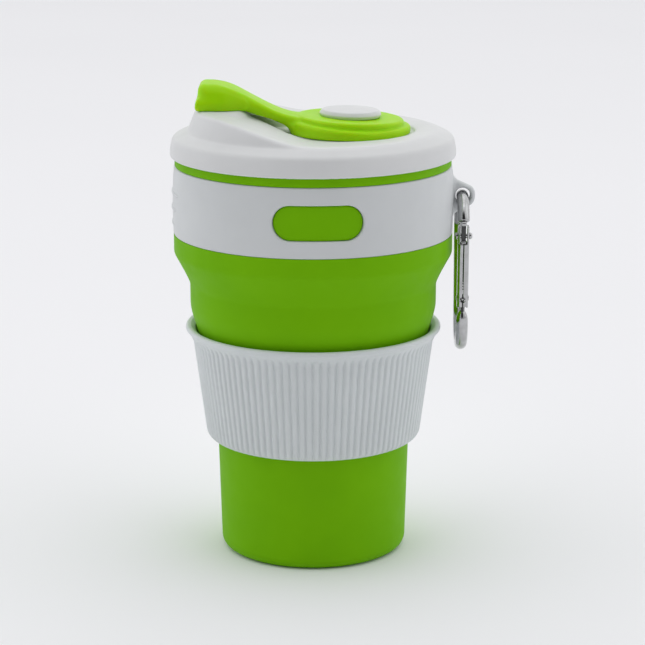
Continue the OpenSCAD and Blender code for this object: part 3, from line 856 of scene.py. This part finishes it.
def stopper():
    """Stopper: a two-step disc, a strap that swells out of its edge, and a cap with a plug for the spout."""
    step = 0.3
    low = np.array([CAP_X - 1.5, -DISC_R - 1.2, SPOUT_Z - 8.6])
    high = np.array([DISC_X + DISC_R + 1.2, DISC_R + 1.2, CAP_TOP_Z + 1.2])
    x, y, z = field_grid(low, high, step)
    foot_z = POCKET_Z - 5
    lower_outline = rounded([
        (-5, foot_z, 0), (DISC_R - 0.3, foot_z, 0), (DISC_R, DISC_STEP_Z, 1.2), (-5, DISC_STEP_Z, 0),
    ])
    lower_lift = STEP_TILT * (DISC_X + 6 - x) + 0.0036 * np.maximum(x - DISC_X, 0) ** 2
    lower = turned_field(lower_outline, x, y, z, DISC_X, lower_lift)
    lower = soft_common(lower, POCKET_Z - z, 0.6)
    upper_outline = rounded([
        (-5, POCKET_Z, 0), (DISC_UPPER_R, POCKET_Z, 0), (DISC_UPPER_R, DISC_TOP_Z, 1.0), (-5, DISC_TOP_Z, 0),
    ])
    upper = turned_field(upper_outline, x, y, z, DISC_X, DISC_TILT * (DISC_X - x))
    disc = soft_union(lower, np.maximum(upper, POCKET_Z - z), 0.6)
    # Strap: a band with full round edges, wider where it leaves the disc and where it meets the cap
    top, under = strap_top_z(x), strap_under_z(x)
    slope = np.gradient(top[:, 0, 0], step)[:, None, None]
    off = (z - (top + under) / 2) / np.sqrt(1 + slope**2)
    half = STRAP_W / 2 + 1.2 * smooth((-19 - x) / 7) + 1.5 * smooth((x + 7) / 5)
    thick = (top - under) / 2 / np.sqrt(1 + slope**2) - 0.9 * smooth((x + 6) / 6)
    strap = plate_field(np.abs(y) - half, off, thick, 0.9 * thick)
    strap = np.maximum(strap, np.maximum(x + 1.5, -28 - x))
    # Cap: its side view swept across, with a soft top edge and a thin lip round its foot
    crown = [(x0, strap_top_z(x0), 0) for x0 in np.arange(-32, -21, 0.75)]
    side = rounded([
        (CAP_X + 0.5, SPOUT_Z, 0.9), (CAP_X + 1.25, CAP_TOP_Z, 2.2), *crown,
        (-21.0, strap_top_z(-21.0), 0), (-21.0, SPOUT_Z + 0.5, 0), (-21.5, SPOUT_Z, 0.3),
    ])
    flat = outline_distance(x[:, :, 0], z[0, 0][None, :], side)[:, None, :]
    half = CAP_W / 2 - 2.0 * smooth((x + 28) / 7) - 0.3 * smooth((z - SPOUT_Z - 1) / 6)
    across = y * (CAP_W / 2) / half
    cap = plate_field(flat, across, CAP_W / 2, 4.0)
    foot = plate_field(flat, across, CAP_W / 2, 0.8)
    cap = np.where(z < SPOUT_Z + 3, mix(foot, cap, smooth((z - SPOUT_Z - 0.8) / 2.2)), cap)
    bead = (z - SPOUT_Z - 1.9) / 2.2
    lip = plate_field(flat - 0.45, across, CAP_W / 2 + 0.45, 0.9) + 0.8 * bead**2
    lip = soft_common(lip, np.abs(bead) - 1, 0.6)
    cap = np.maximum(soft_union(cap, lip, 0.9), SPOUT_Z + 0.05 - z)
    plug = np.maximum(np.hypot(x - DRINK_X, y) - DRINK_R + 0.4, np.abs(z - SPOUT_Z) - 3.2)
    # The strap and the cap share one top surface, so their join is soft only below it
    field = soft_union(strap, disc, mix(4.0, 0.8, smooth((z - under) / 3)))
    field = soft_union(field, cap, mix(1.4, 0.1, smooth((z - top + 2) / 1.5)))
    field = soft_union(field, plug, 0.4)
    field = np.maximum(field, np.minimum(POCKET_Z - z, SPOUT_Z - z + 20) + 0 * field)
    field = soft_cut(field, np.maximum(np.hypot(x - DISC_X, y) - (STEM_R + 0.2), POCKET_Z - 1 - z), 0.3)
    piece = new_piece("stopper", *surface_net(field, low, step), stopper_silicone, 60)
    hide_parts("stopper_disc", "stopper_strap", "spout_cap")
    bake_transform(piece)


# ---------------------------------------------------------------- snap hook


def sweep(centres, radii, material, name, sides=28, across=(1.0, 0.0, 0.0)):
    """Round tube along centres that lie in the plane square to across. It has no end faces."""
    centres = np.asarray(centres, float)
    along = np.gradient(centres, axis=0)
    along /= np.linalg.norm(along, axis=1, keepdims=True)
    side = np.asarray(across)
    normal = np.cross(along, side)
    a = np.linspace(0, 2 * math.pi, sides, endpoint=False)
    ring = np.cos(a)[None, :, None] * side[None, None, :] + np.sin(a)[None, :, None] * normal[:, None, :]
    points = centres[:, None, :] + np.asarray(radii)[:, None, None] * ring
    return new_piece(name, points.reshape(-1, 3), grid_faces(len(centres), sides), material)


def yz_arc(c_z, r, start, end, step=3.0):
    """Points along an arc in the hook's plane; angles in degrees from +Y towards +Z."""
    a = np.radians(np.linspace(start, end, max(2, round(abs(end - start) / step))))
    return np.column_stack([np.full(len(a), HOOK_X), r * np.cos(a), c_z + r * np.sin(a)])


def with_round_ends(centres, radius, first=0.75, last=0.75, steps=10):
    """Path and radii of a tube whose ends are domed over that share of its radius."""
    def dome(end, inward, share):
        t = np.linspace(0, math.pi / 2, steps)[1:]
        out = [end - inward * radius * share * math.sin(a) for a in t]
        return out, [radius * max(math.cos(a), 1e-4) for a in t]

    start_in = (centres[1] - centres[0]) / np.linalg.norm(centres[1] - centres[0])
    end_in = (centres[-2] - centres[-1]) / np.linalg.norm(centres[-2] - centres[-1])
    head, head_r = dome(centres[0], start_in, first)
    tail, tail_r = dome(centres[-1], end_in, last)
    path = np.array(head[::-1] + list(centres) + tail)
    return path, np.array(head_r[::-1] + [radius] * len(centres) + tail_r)


def hook_wire():
    """Bent wire: nose, top bend, back, bottom bend and the stub that carries the gate."""
    lean = math.degrees(HOOK_LEAN)
    along = np.array([0, -math.sin(HOOK_LEAN), math.cos(HOOK_LEAN)])
    stub_start = yz_arc(HOOK_LOW_C_Z, HOOK_LOW_R, 180 + lean, 180 + lean + 1)[0]
    stub = np.array([stub_start + along * t for t in np.linspace(1.9, 0.6, 3)])
    low = yz_arc(HOOK_LOW_C_Z, HOOK_LOW_R, 180 + lean, 360 - lean)
    top = yz_arc(HOOK_C_Z, HOOK_R, -lean, 158)
    back = np.array([mix(low[-1], top[0], t) for t in np.linspace(0, 1, 12)[1:-1]])
    path, radii = with_round_ends(np.concatenate([stub, low, back, top]), WIRE_R, 2.2, 0.45)
    return sweep(path, radii, hook_steel, "hook_wire", 32)


def gate_place():
    """From gate coordinates, origin on the pivot and +Z along the closed gate, to the row frame."""
    return Matrix.Translation((HOOK_X * MM, GATE_Y * MM, GATE_Z * MM)) @ Matrix.Rotation(HOOK_LEAN, 4, "X")


def gate_piece(name, field, low, step, material=hook_steel):
    """Piece from a field in gate coordinates, put in its place in the hook."""
    piece = new_piece(name, *surface_net(field, low, step), material, 50)
    piece.data.transform(gate_place())
    return piece


def block(x, y, z, low, high, edge):
    """Field of a box with rounded edges."""
    q = [np.abs(v - (a + b) / 2) - (b - a) / 2 + edge for v, a, b in zip((x, y, z), low, high)]
    outside = np.sqrt(sum(np.maximum(v, 0) ** 2 for v in q))
    return outside + np.minimum(np.maximum(np.maximum(q[0], q[1]), q[2]), 0) - edge


def hook_tongue():
    """Flattened end of the stub inside the gate's fork, and the nose's tongue that the latch pin catches."""
    step = 0.11
    low = np.array([-2.2, -2.6, -6.0])
    x, y, z = field_grid(low, (2.2, 2.6, 2.6), step)
    neck = block(x, y, z, (-0.5, -0.9, -5.4), (0.5, 1.3, 1.7), 0.3)
    # Round about the pivot, so that the gate's front wall turns clear of it
    neck = np.maximum(neck, np.hypot(y, np.maximum(z, 0)) - 1.25 - np.maximum(-z, 0))
    boss = np.hypot(np.hypot(x, (y + 1.0) * 1.4), z + 0.1) - 0.6
    tongue_low = np.array([-1.6, -2.4, 17.0])
    tx, ty, tz = field_grid(tongue_low, (1.6, 1.8, 25.4), step)
    tongue = block(tx, ty, tz, (-0.7, -0.9, 18.1), (0.7, 0.4, 25.0), 0.2)
    foot = block(tx, ty, tz, (-0.95, -1.55, 18.0), (0.95, 0.3, 19.0), 0.45)
    shoulder = block(tx, ty, tz, (-0.9, -1.6, 23.75), (0.9, 0.3, 25.2), 0.5)
    # The neck and the tongue wear the near-black steel as painted shade for the gate's shaded window; the
    # boss and the tongue's ends stay bright steel
    return [
        gate_piece("hook_neck", neck, low, step, painted_shade_steel),
        gate_piece("hook_pivot_boss", boss, low, step),
        gate_piece("hook_tongue", tongue, tongue_low, step, painted_shade_steel),
        gate_piece("hook_tongue_ends", np.minimum(foot, shoulder), tongue_low, step),
    ]


def gate_sleeve():
    """Gate: sheet rolled into a box with a seam, open at both ends for the latch and the spring."""
    step = 0.12
    low = np.array([-2.6, -2.8, -GATE_TAIL - 0.8])
    x, y, z = field_grid(low, (2.6, 2.8, GATE_TOP + 0.8), step)

    def tube(w, d, corner):
        qx, qy = np.abs(x) - w / 2 + corner, np.abs(y) - d / 2 + corner
        outside = np.hypot(np.maximum(qx, 0), np.maximum(qy, 0))
        return outside + np.minimum(np.maximum(qx, qy), 0) - corner + 0 * z

    wall = soft_cut(tube(GATE_W, GATE_D, 1.2), tube(GATE_W - 2 * GATE_T, GATE_D - 2 * GATE_T, 0.7), 0.1)
    field = soft_common(wall, np.maximum(-GATE_TAIL - z, z - GATE_TOP) + 0 * wall, 0.3)
    window = 5.6
    cuts = [
        block(x, y, z, (-1.15, -3, GATE_TOP - window), (1.15, 3, GATE_TOP + 2), 0.3),
        block(x, y, z, (-1.15, 0, -GATE_TAIL - 2), (1.15, 3, window - 1), 0.3),
        np.hypot(x, z + 0.1) - 0.85 + np.maximum(y, 0) * 4,
        np.hypot(np.abs(x) - 0.95, z + GATE_TAIL - 0.1) - 0.75 + np.maximum(y, 0) * 4,
        block(x, y, z, (-0.6, -3, -GATE_TAIL - 1), (0.6, 0, 0.8 - GATE_TAIL), 0.2),
        block(x, y, z, (-0.14, -3, -GATE_TAIL), (0.14, 0, GATE_TOP), 0.05),
    ]
    for cut in cuts:
        field = soft_cut(field, cut, 0.18)
    return gate_piece("gate_sleeve", field, low, step)


def cross_pin(name, y, z, half, head_r, head_l):
    """Rivet along X in gate coordinates, with a domed head at each end."""
    outline = rounded([
        (0, -half - head_l, 0), (head_r * 0.6, -half - head_l, 0.3), (head_r, -half - head_l * 0.5, 0.3),
        (head_r, -half, 0.1), (PIN_R, -half, 0), (PIN_R, half, 0), (head_r, half, 0.1),
        (head_r, half + head_l * 0.5, 0.3), (head_r * 0.6, half + head_l, 0.3), (0, half + head_l, 0),
    ], 4)
    piece = lathe(name, outline, hook_steel, 32)
    turn = Matrix.Rotation(math.radians(90), 4, "Y")
    piece.data.transform(gate_place() @ Matrix.Translation((0, y * MM, z * MM)) @ turn)
    return piece


def spring():
    """Return spring: a helix inside the gate, above the neck. Its wire is open at both ends."""
    turns, r, wire, start, length, sides = 10, 0.75, 0.2, 2.4, 9.0, 8
    t = np.linspace(0, 1, turns * 20)
    a = t * turns * 2 * math.pi
    centres = np.column_stack([r * np.cos(a), r * np.sin(a), start + t * length])
    along = np.gradient(centres, axis=0)
    along /= np.linalg.norm(along, axis=1, keepdims=True)
    side = np.cross(along, UP)
    side /= np.linalg.norm(side, axis=1, keepdims=True)
    normal = np.cross(along, side)
    b = np.linspace(0, 2 * math.pi, sides, endpoint=False)
    ring = np.cos(b)[None, :, None] * side[:, None] + np.sin(b)[None, :, None] * normal[:, None]
    points = (centres[:, None] + wire * ring).reshape(-1, 3)
    piece = new_piece("gate_spring", points, grid_faces(len(centres), sides), hook_steel)
    piece.data.transform(gate_place())
    return piece


def snap_hook():
    """Snap hook: the wire and its fittings ride on the hook, the rest on its gate."""
    wire = hook_wire()
    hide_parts("hook_body")
    pivot = cross_pin("gate_pivot", 0, 0, GATE_W / 2, 0.95, 0.25)
    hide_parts("hook_pivot_pin")
    for piece in (wire, pivot, *hook_tongue()):
        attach(piece, "hook")
    gate = gate_sleeve()
    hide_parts("hook_gate")
    latch = cross_pin("gate_latch", 0.55, LATCH_UP, GATE_W / 2 + 0.1, 1.05, 0.9)
    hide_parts("hook_latch_pin")
    coil = spring()
    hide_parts("hook_spring")
    for piece in (gate, latch, coil):
        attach(piece, "gate")


# ---------------------------------------------------------------- camera, floor and light


def camera():
    """Camera at the photograph's viewing angle: a long lens, a little above the cup."""
    data = bpy.data.cameras.new("camera")
    data.lens = 127.26
    data.sensor_width = 36
    data.clip_end = 50
    made = bpy.data.objects.new("camera", data)
    made.location = (0.00296, -0.70755, 0.24702)
    made.rotation_euler = (math.radians(76.19), 0, 0)
    bpy.context.scene.collection.objects.link(made)
    bpy.context.scene.camera = made


def floor():
    """Plain pale floor, large enough to reach the horizon."""
    half = 6000.0
    material, shader = new_material("floor_paper", Roughness=0.9, Specular_IOR_Level=0.1)
    tree = material.node_tree
    colour = two_tone(tree, noise(tree, 3, 2.0), (0.905, 0.90, 0.92), (0.895, 0.89, 0.91))
    tree.links.new(colour, shader.inputs["Base Color"])
    corners = [(-half, -half, 0), (half, -half, 0), (half, half, 0), (-half, half, 0)]
    new_piece("floor", corners, [(0, 1, 2, 3)], material)


def area_light(name, place, target, size, power):
    """White rectangular light that looks at the target."""
    data = bpy.data.lights.new(name, "AREA")
    data.shape = "RECTANGLE"
    data.size, data.size_y = size
    data.energy = power
    made = bpy.data.objects.new(name, data)
    made.location = place
    made.rotation_euler = (Vector(target) - Vector(place)).to_track_quat("-Z", "Y").to_euler()
    bpy.context.scene.collection.objects.link(made)


def studio():
    """White tent: bright above and behind, dimmer in front, with a dark gap round the camera."""
    scene = bpy.context.scene
    scene.view_settings.view_transform = "Standard"
    world = bpy.data.worlds.new("studio")
    world.use_nodes = True
    tree = world.node_tree
    background = tree.nodes["Background"]
    place = node(tree, "ShaderNodeTexCoord")

    def facing(direction, start, end, low, high):
        """Value that runs from low to high as the direction looked in turns towards the given one."""
        dot = node(tree, "ShaderNodeVectorMath", operation="DOT_PRODUCT")
        dot.inputs[1].default_value = Vector(direction).normalized()
        tree.links.new(place.outputs["Generated"], dot.inputs[0])
        level = node(tree, "ShaderNodeMapRange", interpolation_type="SMOOTHSTEP")
        for key, value in (("From Min", start), ("From Max", end), ("To Min", low), ("To Max", high)):
            level.inputs[key].default_value = value
        tree.links.new(dot.outputs["Value"], level.inputs["Value"])
        return level.outputs["Result"]

    tent = facing((0, 0.3, 1), -0.9, 0.65, 0.1, 1.03)
    gap = facing((0, -1, 0.55), 0.80, 0.94, 1.0, 0.03)
    product = node(tree, "ShaderNodeMath", operation="MULTIPLY")
    tree.links.new(tent, product.inputs[0])
    tree.links.new(gap, product.inputs[1])
    tree.links.new(product.outputs["Value"], background.inputs["Strength"])
    background.inputs["Color"].default_value = (0.985, 0.992, 1.0, 1)
    scene.world = world
    target = (0, 0, 0.08)
    area_light("overhead", (0, 0.15, 1.5), target, (1.2, 1.2), 1.45)
    area_light("left", (-1.3, 0.0, 0.7), target, (0.8, 1.2), 0.95)
    area_light("right", (1.3, 0.0, 0.7), target, (0.8, 1.2), 0.9)


camera()
floor()
studio()
cup_top()
cup_bottom()
collar()
sleeve()
lid()
button()
stopper()
snap_hook()
